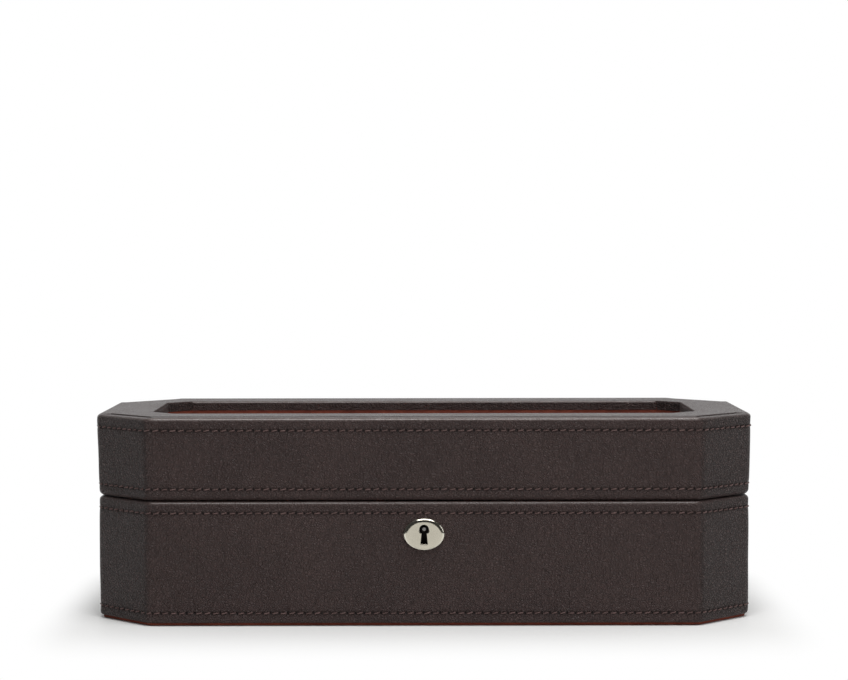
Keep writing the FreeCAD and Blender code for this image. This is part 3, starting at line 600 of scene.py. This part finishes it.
def makeStitches(name, row, push):
    # each stitch is a tube along t from -1 to 1: sunk at both ends by the fourth power of t, its right end higher
    s = stitch
    t = np.linspace(-1, 1, s["rings"])
    around = np.linspace(0, 2 * math.pi, s["sides"], endpoint=False)
    number = np.arange(stitchCount)
    wander = np.sin(number * s["wander"] + row)[:, None]
    liftSway, slantSway, heightSway = s["sway"]
    at = ((number[:, None] + 0.5) * stitchPitch + t * s["length"] / 2) % girth
    spot, normal = (np.stack([np.interp(at, outlineAt, line[:, axis]) for axis in (0, 1)], -1)
                    for line in (closedXy, closedNormal))
    normal = normal / np.linalg.norm(normal, axis=-1, keepdims=True)
    lift = push + s["rise"] - s["dive"] * t ** 4 + liftSway * wander
    z = row + s["slant"] * t * (1 + slantSway * wander) + heightSway * wander
    radius = (s["radius"] * (1 - s["taper"] * t ** 2))[:, None]
    out = lift[..., None] + radius * np.cos(around)
    up = z[..., None] + radius * np.sin(around)
    xy = spot[:, :, None, :] + normal[:, :, None, :] * out[..., None]
    points = np.concatenate([xy, up[..., None]], -1).reshape(-1, 3)
    grid = np.arange(s["rings"] * s["sides"]).reshape(s["rings"], s["sides"])
    quads = ringFaces(s["rings"], s["sides"])[:-s["sides"]]
    caps = np.stack([grid[0], grid[-1, ::-1]])
    first = (number * grid.size)[:, None, None]
    sideFaces, capFaces = (quads + first).reshape(-1, 4), (caps + first).reshape(-1, s["sides"])
    # the first coordinate is a stitch's number and a share just short of 1, the second its turn
    ringShare = ((t + 1) / 2 * 0.98)[:, None]
    u = (number[:, None, None] + np.broadcast_to(ringShare, grid.shape)).ravel()
    v = np.broadcast_to(np.arange(s["sides"]) / s["sides"], (stitchCount, *grid.shape)).ravel()
    order = np.concatenate([sideFaces.ravel(), capFaces.ravel()])
    return makePiece(name, points, sideFaces.tolist() + capFaces.tolist(), sewingThread,
                     np.stack([u[order], v[order]], -1), sharp=60)


for body, rows in (("base", baseCover["rows"]), ("lid", lidCover["rows"])):
    for place, row in zip(("Lower", "Upper"), rows):
        piece = makeStitches(body + "Stitches" + place, row, lidFlare(row))
        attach(piece, body)
print("stitches: 4 rows of %d" % stitchCount)

# Rust suede for the bottom board, linings, dividers and the window's inner wall, and a lighter one for cushions
rustLook = dict(base=shade(98, 48, 37), dark=shade(64, 28, 21), light=shade(120, 62, 48))
cushionLook = dict(base=shade(120, 58, 44), dark=shade(82, 36, 27), light=shade(146, 78, 60))


def suedeFinish(name, look):
    f = Finish(name)
    spot = f.place()
    nap = f.noise(spot, 2600.0, 3.0, 0.65)
    brush = f.noise(f.place((1.0, 0.45, 1.0), (0.2, 0.1, 0.5)), 170.0, 4.0, 0.6)
    patch = f.noise(spot, 45.0)
    colour = f.mix(f.step(brush, 0.3, 0.72) * 0.8, look["base"], look["light"])
    colour = f.mix(f.step(patch, 0.4, 0.75) * 0.35, colour, look["dark"])
    colour = f.mix(f.step(nap, 0.52, 0.3) * 0.5, colour, look["dark"])
    return f.surface({"Base Color": colour, "Roughness": 0.86 + nap * 0.12, "Specular IOR Level": 0.15,
                      "Sheen Weight": 0.25, "Sheen Roughness": 0.4, "Sheen Tint": look["light"],
                      "Normal": f.bump(nap * 0.6 + brush * 0.5, 0.5, 0.0003)})


rustSuede = suedeFinish("rustSuede", rustLook)
cushionSuede = suedeFinish("cushionSuede", cushionLook)

# Fibreboard of the carcass, seen only where a hinge groove or the keyhole shows its edge
boardLook = dict(base=shade(112, 84, 60), dark=shade(70, 50, 36))


def boardFinish():
    f = Finish("carcassBoard")
    fibre = f.noise(f.place((1.0, 1.0, 3.0)), 1400.0, 4.0, 0.65)
    patch = f.noise(f.place(), 60.0)
    colour = f.mix(f.step(fibre, 0.35, 0.65), boardLook["dark"], boardLook["base"])
    colour = f.mix(patch * 0.3, colour, boardLook["dark"])
    return f.surface({"Base Color": colour, "Roughness": 0.8 + fibre * 0.15, "Normal": f.bump(fibre, 0.3, 0.0003)})


# Polished nickel with fine wiping marks, a painted reflection brighter towards the escutcheon's rim, and the duller
# steel inside the lock
metalLook = dict(nickel=shade(194, 189, 174), steel=shade(150, 148, 144), dark=shade(52, 49, 47),
                 rimReflection=shade(226, 222, 208), cloudTint=(0.78, 0.75, 0.7), rimReflectionFrom=(0.72, 0.92))


def metalFinish(name, colour, rough, marks, oval=None):
    # an oval is the half sizes and centre height of a plate whose colour is painted brighter towards its edge, a
    # painted reflection on its rolled rim
    f = Finish(name)
    wipe = f.noise(f.place((1.0, 1.0, 14.0), (0.0, 0.5, 0.2)), 900.0, 3.0, 0.6)
    cross = f.noise(f.place((12.0, 1.0, 1.0), (0.3, 0.4, 0.0)), 700.0, 3.0, 0.6)
    cloud = f.noise(f.place(), 160.0, 3.0)
    clouded = (*(part * tint for part, tint in zip(colour, metalLook["cloudTint"])), 1.0)
    tone = f.mix(cloud * 0.35, colour, clouded)
    if oval:
        halfX, halfZ, centreZ = (size * mm for size in oval)
        spot = f.place()
        x, z = f.axis(spot, 0) / halfX, (f.axis(spot, 2) - centreZ) / halfZ
        # painted reflection: the rim is lighter than the face
        tone = f.mix(f.step(x * x + z * z, *metalLook["rimReflectionFrom"]), tone, metalLook["rimReflection"])
    uneven = (wipe * 0.5 + cross * 0.5 + cloud - 1.0) * marks
    return f.surface({"Base Color": tone, "Metallic": 1.0, "Roughness": rough + uneven,
                      "Normal": f.bump(wipe + cross, 0.04, 0.0001)})


glassLook = dict(clear=shade(250, 253, 251), tinted=shade(242, 250, 246), refraction=1.5, smear=0.035)


def glassFinish():
    look = glassLook
    f = Finish("clearGlass")
    smear = f.noise(f.place((1.0, 2.4, 1.0), (0.0, 0.0, 0.5)), 34.0, 4.0, 0.6)
    tint = f.noise(f.place(), 12.0, 1.0)
    return f.surface({"Base Color": f.mix(tint * 0.4, look["clear"], look["tinted"]), "Transmission Weight": 1.0,
                      "IOR": look["refraction"], "Roughness": f.step(smear, 0.62, 0.95) * look["smear"]})


polish = dict(rough=0.13, marks=0.08)
polishedNickel = metalFinish("polishedNickel", metalLook["nickel"], **polish)
darkSteel = metalFinish("darkSteel", metalLook["dark"], 0.5, 0.2)
plainSteel = metalFinish("plainSteel", metalLook["steel"], 0.36, 0.16)
slotFinish = dict(brown_leather=brownLeather, rust_suede=rustSuede, cushion_suede=cushionSuede,
                  carcass_board=boardFinish(), clear_glass=glassFinish(), polished_nickel=polishedNickel,
                  plain_steel=plainSteel)
for part in nodes.values():
    for place in part.material_slots:
        own = next(slot for slot in slotFinish if place.material.name.startswith(slot))
        place.material = slotFinish[own]
for name in ("lock_case", "lid_link_plate", "lock_selvedge", "lock_bolt"):  # painted shade: dark steel on these parts keeps the lock dark inside
    nodes[name].material_slots[0].material = darkSteel
nodes["window_glass"].visible_shadow = False  # the lamps shine in through the window
print("finishes: %d on the carried-over parts" % len(slotFinish))

# Oval escutcheon: flat in the middle, rolling over to its edge, pierced by a round-topped keyhole
plate = dict(half=(10.7, 8.4), centreZ=47.6, face=-75.0, back=-73.0, edge=0.45, flat=0.76, rollPower=2.2,
             eye=(50.2, 2.45), neck=1.1, foot=(42.6, 1.9), pole=48.0, lip=0.22, spokes=192)
plateNickel = metalFinish("plateNickel", metalLook["nickel"], oval=(*plate["half"], plate["centreZ"]), **polish)


def keyholeReach(angle):
    # distance from a point in the keyhole's neck to its edge: the further of the round eye and the flared slot
    p = plate
    cos, sin = np.cos(angle), np.sin(angle)
    rise = p["eye"][0] - p["pole"]
    eye = sin * rise + np.sqrt(p["eye"][1] ** 2 - (cos * rise) ** 2)
    slope = (p["foot"][1] - p["neck"]) / (p["eye"][0] - p["foot"][0])
    wideHere = p["neck"] + slope * rise
    toSide = wideHere / np.maximum(np.abs(cos) + slope * sin, 1e-6)
    toFoot = (p["pole"] - p["foot"][0]) / np.maximum(-sin, 1e-6)
    slot = np.where(sin < 0.2, np.minimum(toSide, toFoot), 0)
    return np.maximum(eye, slot)


def makeEscutcheon():
    # spokes from the keyhole's edge out to the oval: height is full where the oval radius is under the flat share
    # and falls as a quarter ellipse to the edge; the wall of the keyhole and the back close the shape
    p = plate
    angle = np.linspace(0, 2 * math.pi, p["spokes"], endpoint=False)
    ray = np.stack([np.cos(angle), np.sin(angle)], -1)
    inner = keyholeReach(angle)
    # a spoke meets the oval where a quadratic in its length is zero
    a, b = p["half"]
    lift = p["pole"] - p["centreZ"]
    qa = (ray[:, 0] / a) ** 2 + (ray[:, 1] / b) ** 2
    qb = 2 * lift * ray[:, 1] / b ** 2
    qc = (lift / b) ** 2 - 1
    outer = (-qb + np.sqrt(qb ** 2 - 4 * qa * qc)) / (2 * qa)
    high = p["back"] - p["face"]
    lipTurn = np.linspace(0, math.pi / 2, 4)[:, None]
    shares = np.concatenate([np.linspace(0, 0.5, 6)[1:], np.linspace(0.5, 0.985, 22)[1:], [0.993, 0.998, 1.0]])
    start = inner + p["lip"]
    # rings: the keyhole's back edge, the lip over its front edge, the face out to the oval, the oval's back edge
    lip = inner + p["lip"] * (1 - np.cos(lipTurn))
    grid = np.concatenate([inner[None], lip, start + shares[:, None] * (outer - start), outer[None]])
    point = grid[..., None] * ray[None] + np.array([0, p["pole"]])
    oval = np.sqrt((point[..., 0] / a) ** 2 + ((point[..., 1] - p["centreZ"]) / b) ** 2)
    roll = np.clip((oval - p["flat"]) / (1 - p["flat"]), 0, 1)
    depth = p["edge"] + (high - p["edge"]) * np.sqrt(np.maximum(1 - roll ** p["rollPower"], 0))
    depth[1:len(lip) + 1] -= p["lip"] * (1 - np.sin(lipTurn))
    depth[0] = depth[-1] = 0
    rings = np.stack([point[..., 0], p["back"] - depth, point[..., 1]], -1)
    return makePiece("escutcheonPlate", rings.reshape(-1, 3), ringFaces(*grid.shape), plateNickel, sharp=50)


escutcheonPlate = makeEscutcheon()
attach(escutcheonPlate, "base")
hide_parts("lock_escutcheon")
print("escutcheon: %d faces" % len(escutcheonPlate.data.polygons))

# Watch cushions: one is filled by cloth simulation, then set in each compartment with small differences
cushion = dict(centres=(-130.0, -65.0, 0.0, 65.0, 130.0), half=(28.5, 46.0, 23.0), floor=9.2, shrink=2.5, rings=41,
               sides=72, endPower=0.5, ringPower=0.34, sidePowers=(0.62, 0.7), voxel=4.5, pressure=4.0, stiff=12,
               bend=0.4, quality=6, frames=20, cap=3.5, fit=0.985, lift=0.02, seamAt=24.2, seamWidth=1.5,
               seamDepth=0.9, welt=0.9, weltSides=8, proud=0.35, turns=120, waves=26)


def signedPower(value, power):
    return np.sign(value) * np.abs(value) ** power


def cushionShape():
    # superellipsoid lying along X: boxy towards its two ends, rounder about its length
    c = cushion
    end = np.linspace(0, math.pi, c["rings"])[1:-1, None]
    around = np.linspace(0, 2 * math.pi, c["sides"], endpoint=False)[None, :]
    hx, hy, hz = (h - c["shrink"] for h in c["half"])
    ring = np.sin(end) ** c["ringPower"]
    x = hx * signedPower(np.cos(end), c["endPower"])
    y = hy * ring * signedPower(np.cos(around), c["sidePowers"][0])
    z = hz * ring * signedPower(np.sin(around), c["sidePowers"][1])
    points = np.stack(np.broadcast_arrays(x, y, z), -1).reshape(-1, 3)
    index = np.arange(len(points)).reshape(-1, c["sides"])
    quads = ringFaces(*index.shape)[:-c["sides"], [0, 3, 2, 1]].tolist()  # rings run the other way here
    return points, quads + [index[0, ::-1].tolist(), index[-1].tolist()]


def vertexPlaces(mesh):
    flat = np.empty(len(mesh.vertices) * 3)
    mesh.vertices.foreach_get("co", flat)
    return flat.reshape(-1, 3)


def fillCushion():
    # closed bag, evenly meshed, blown up gently by cloth pressure with how far a point moves held to a cap
    c = cushion
    points, faces = cushionShape()
    bag = makePiece("cushionBag", points, faces, cushionSuede)
    bpy.context.view_layer.objects.active = bag
    remesh = bag.modifiers.new("even", "REMESH")
    remesh.mode, remesh.voxel_size = "VOXEL", c["voxel"] * mm
    settled = bpy.data.meshes.new_from_object(bag.evaluated_get(bpy.context.evaluated_depsgraph_get()))
    bag.modifiers.clear()
    bag.data = settled
    start = moved = vertexPlaces(settled)
    cloth = bag.modifiers.new("fill", "CLOTH")
    settings = cloth.settings
    settings.use_pressure = True
    settings.uniform_pressure_force = c["pressure"]
    settings.effector_weights.gravity = 0.0
    settings.quality = c["quality"]
    settings.tension_stiffness = settings.compression_stiffness = c["stiff"]
    settings.bending_stiffness = c["bend"]
    cloth.point_cache.frame_start, cloth.point_cache.frame_end = 1, c["frames"]
    for step in range(1, c["frames"] + 1):
        scene.frame_set(step)
    moved = vertexPlaces(bag.evaluated_get(bpy.context.evaluated_depsgraph_get()).to_mesh())
    bag.modifiers.clear()
    scene.frame_set(1)
    push = moved - start
    far = np.linalg.norm(push, axis=1, keepdims=True)
    push = push * np.minimum(1, c["cap"] * mm / np.maximum(far, 1e-9))
    print("cushion: %d points, cloth moved up to %.1f mm" % (len(start), far.max() / mm))
    quads = np.array([tuple(face.vertices) for face in settled.polygons])
    bpy.data.objects.remove(bag)
    return (start + push) / mm, quads


def cushionSurface(points, number):
    # puts the filled bag in its compartment: sized to it, drawn in as a bell at the two end seams, creased by three
    # crossed sines that differ from cushion to cushion, and flat where it rests
    c = cushion
    p = points * (np.array(c["half"]) * c["fit"] / np.abs(points).max(0))
    x, y, z = p.T
    inSeam = np.exp(-((np.abs(x) - c["seamAt"]) / c["seamWidth"]) ** 2)
    radial = np.stack([np.zeros_like(x), y, z], 1)
    radial = radial / np.maximum(np.linalg.norm(radial, axis=1, keepdims=True), 1e-6)
    phase = number * 1.7
    crease = (0.3 * np.sin(y * 0.31 + x * 0.09 + phase) + 0.22 * np.sin(x * 0.44 - y * 0.17 + 2 * phase)
              + 0.18 * np.sin(z * 0.6 + x * 0.3 + phase))
    p = p + radial * (crease * (1 - inSeam) - c["seamDepth"] * inSeam)[:, None]
    z = np.maximum(p[:, 2] + c["half"][2], c["lift"]) + c["floor"]
    return np.stack([p[:, 0] + c["centres"][number], p[:, 1], z], 1)


def makeWelt(name, points, faces, number, side):
    # cord sewn round one end: the plane of the seam cuts the cushion's edges in a closed line, and a tube
    # follows that line, smoothed to its longer waves, at even lengths
    c = cushion
    middle = np.array([c["centres"][number], 0, c["floor"] + c["half"][2]])
    first, second = (points[ends.ravel()] - middle for ends in (faces, np.roll(faces, -1, 1)))
    before, after = (end[:, 0] - side * c["seamAt"] for end in (first, second))
    crossed = before * after < 0
    share = (before / np.where(crossed, before - after, 1.0))[crossed, None]
    line = (first[crossed] + share * (second[crossed] - first[crossed]))[:, 1:]
    line = line[np.argsort(np.arctan2(line[:, 1], line[:, 0]))]
    line = np.concatenate([line, line[:1]])
    length = lengths(line)
    even = np.linspace(0, length[-1], c["turns"], endpoint=False)
    loop = np.interp(even, length, line[:, 0]) + 1j * np.interp(even, length, line[:, 1])
    spectrum = np.fft.fft(loop)
    spectrum[c["waves"]:-c["waves"]] = 0
    loop = np.fft.ifft(spectrum)
    path = np.stack([np.full(c["turns"], side * c["seamAt"]), loop.real, loop.imag], -1)
    tangent = np.roll(path, -1, 0) - np.roll(path, 1, 0)
    tangent = tangent / np.linalg.norm(tangent, axis=1, keepdims=True)
    across = np.array([1.0, 0.0, 0.0])
    normal = np.cross(tangent, across)
    path = path + normal * c["proud"]
    path[:, 2] = np.maximum(path[:, 2], -c["half"][2] + c["welt"])
    turn = np.linspace(0, 2 * math.pi, c["weltSides"], endpoint=False)[None, :, None]
    tube = path[:, None, :] + c["welt"] * (np.cos(turn) * normal[:, None, :] + np.sin(turn) * across) + middle
    return makePiece(name, tube.reshape(-1, 3), ringFaces(c["turns"], c["weltSides"]), cushionSuede, sharp=80)


bagPoints, bagFaces = fillCushion()
for number in range(5):
    points = cushionSurface(bagPoints, number)
    pad = makePiece("watchCushion%d" % (number + 1), points, bagFaces, cushionSuede, sharp=80)
    smooth = pad.modifiers.new("smooth", "SUBSURF")
    smooth.levels = smooth.render_levels = 1
    body = "cushion_%d" % (number + 1)
    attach(pad, body)
    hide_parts("watch_cushion_%d" % (number + 1))
    for end, side in (("Left", -1), ("Right", 1)):
        welt = makeWelt("cushionWelt%d%s" % (number + 1, end), points, bagFaces, number, side)
        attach(welt, body)
print("cushions: 5, with welts")

# Pale floor, white surroundings and soft studio lamps
studio = dict(ambient=0.55, fromRight=0.5, dimRoom=0.05, glow=0.5, glowSpan=(0.05, 0.4), backSpan=(0.35, 0.7),
              horizon=(0.12, 0.42), aim=(0, 0, 0.05), white=(1.0, 1.0, 1.0, 1.0))
floorLook = dict(base=shade(240, 240, 239), patch=shade(236, 236, 235), clear=0.1, sideways=3.0,
                 ends=((-650, 900), (-900, 1300)), steps=5, drop=0.25)
lamps = (dict(name="overheadSoftbox", size=(1.0, 0.7), power=12.0, place=(0.1, -0.55, 1.3)),
         dict(name="rightFill", size=(0.6, 0.9), power=2.0, place=(1.5, -0.7, 0.6)),
         dict(name="rearFill", size=(1.2, 0.5), power=3.0, place=(-0.4, 1.5, 0.9), mirrored=False))
view = dict(lens=95.26, sensor=36.0, place=(0.0001, -1.2243, 0.1977), down=2.484, roll=-0.09)


def makeFloor():
    # a flat grid just under the object; away from it, the camera and mirrors see pure white
    look = floorLook
    f = Finish("paleFloor")
    spot = f.place()
    grain = f.noise(spot, 18.0, 3.0)
    dx, dy = (f.maths("MAXIMUM", f.maths("ABSOLUTE", f.axis(spot, axis)) - half * mm, 0.0)
              for axis, half in enumerate((plan["halfWidth"], plan["halfDepth"])))
    dx = dx * look["sideways"]
    away = f.maths("SQRT", dx * dx + dy * dy)
    white = f.step(away, 0.0, look["clear"]) * f.maths("MINIMUM", sum(f.rays()), 1.0)
    colour = f.mix(grain * 0.3, look["base"], look["patch"])
    rough = 0.5 + grain * 0.1
    bare = f.node("BsdfPrincipled", None, {"Base Color": colour, "Roughness": rough, "Specular IOR Level": 0.2})
    lit = f.node("Emission", None, {"Color": studio["white"], "Strength": 1.0})
    finish = f.surface({0: white, 1: bare, 2: lit}, "MixShader")
    x, y = np.meshgrid(*(np.linspace(*ends, look["steps"]) for ends in look["ends"]), indexing="ij")
    points = np.stack([x, y, np.full_like(x, -look["drop"])], -1).reshape(-1, 3)
    index = np.arange(x.size).reshape(x.shape)
    faces = np.stack([index[:-1, :-1], index[1:, :-1], index[1:, 1:], index[:-1, 1:]], -1).reshape(-1, 4)
    return makePiece("paleFloor", points, faces, finish)


makeFloor()


def makeWorld():
    w = Finish("studioWorld", scene.world or bpy.data.worlds.new("studioWorld"))
    scene.world = w.data
    camera, glossy, through = w.rays()
    way = w.node("TexCoord", out=0)
    x, y, z = (w.axis(way, axis) for axis in range(3))
    # reflections show a pale backdrop low behind the object, a glow over it, and a dim room elsewhere
    backdrop = w.step(y, *studio["backSpan"]) * (1 - w.step(z, *studio["horizon"]))
    glow = w.step(y, *studio["glowSpan"]) * studio["glow"] + studio["dimRoom"]
    mirrored = glow + backdrop * (1 - glow)
    seen = camera + (1 - camera) * (glossy * mirrored + through * (1 - glossy))
    other = (1 - camera) * (1 - glossy) * (1 - through)
    ambient = (1 + x * studio["fromRight"]) * studio["ambient"]
    w.surface({"Color": studio["white"], "Strength": seen + other * ambient}, "Background", "OutputWorld")


def makeLamp(name, size, power, place, mirrored=True):
    # area lamp facing the object; one that isn't mirrored lights it without showing in the glass and metal
    light = bpy.data.lights.new(name, "AREA")
    light.shape, light.size, light.size_y, light.energy = "RECTANGLE", *size, power
    lamp = bpy.data.objects.new(name, light)
    scene.collection.objects.link(lamp)
    back = np.subtract(place, studio["aim"])
    back = back / np.linalg.norm(back)
    side = np.cross((0, 0, 1), back)
    side = side / np.linalg.norm(side)
    turn = np.eye(4)
    turn[:3, :3] = np.stack([side, np.cross(back, side), back], 1)
    turn[:3, 3] = place
    lamp.matrix_world = Matrix(turn.tolist())
    lamp.visible_glossy = lamp.visible_transmission = mirrored


def makeCamera():
    data = bpy.data.cameras.new("photoCamera")
    data.lens, data.sensor_width, data.sensor_fit = view["lens"], view["sensor"], "HORIZONTAL"
    camera = bpy.data.objects.new("photoCamera", data)
    scene.collection.objects.link(camera)
    tilt = Matrix.Rotation(math.radians(90 - view["down"]), 4, "X")
    roll = Matrix.Rotation(math.radians(view["roll"]), 4, "Z")
    camera.matrix_world = Matrix.Translation(view["place"]) @ tilt @ roll
    scene.camera = camera


makeWorld()
for lamp in lamps:
    makeLamp(**lamp)
makeCamera()
scene.view_settings.view_transform = "Standard"
print("stage: floor, world, lamps and camera")
